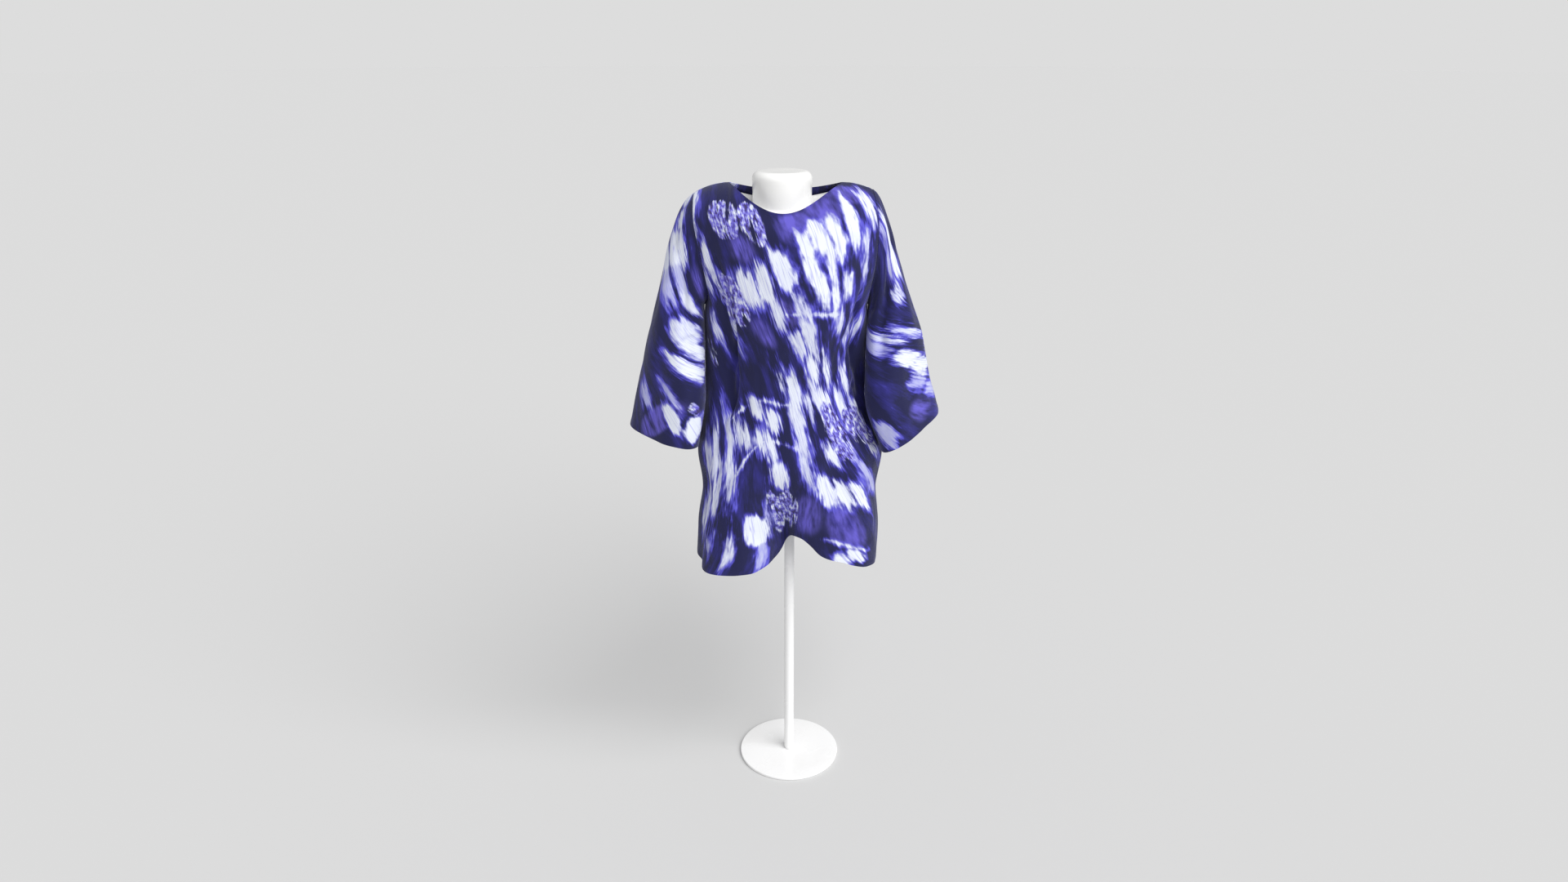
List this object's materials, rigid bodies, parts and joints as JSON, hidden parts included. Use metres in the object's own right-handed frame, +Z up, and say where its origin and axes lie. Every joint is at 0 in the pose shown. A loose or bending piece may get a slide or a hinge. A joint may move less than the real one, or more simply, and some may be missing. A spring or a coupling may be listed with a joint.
{
  "type": "blouse on a dress form",
  "caption": "Loose tunic blouse with a wide neckline, flared elbow-length sleeves and a notched hem, worn by a limbless dress form on a pole and a round base.",
  "frame": {"origin": "centre of the underside of the round base, on the floor", "axes": "+Z up along the pole, -Y out of the front of the blouse, -X to the left as seen from the front"},
  "size_m": [0.6916, 0.2985, 1.447],
  "materials": {
    "dyed_cloth": "soft woven cloth, tie-dyed in indigo, violet and white",
    "form_shell": "smooth white gloss",
    "stand_metal": "white gloss paint"
  },
  "bodies": {
    "root": {"blouse_front": "dyed_cloth", "blouse_back": "dyed_cloth", "sleeve_left": "dyed_cloth", "sleeve_right": "dyed_cloth", "form_torso": "form_shell", "stand_pole": "stand_metal", "stand_base": "stand_metal"}
  },
  "joints": []
}
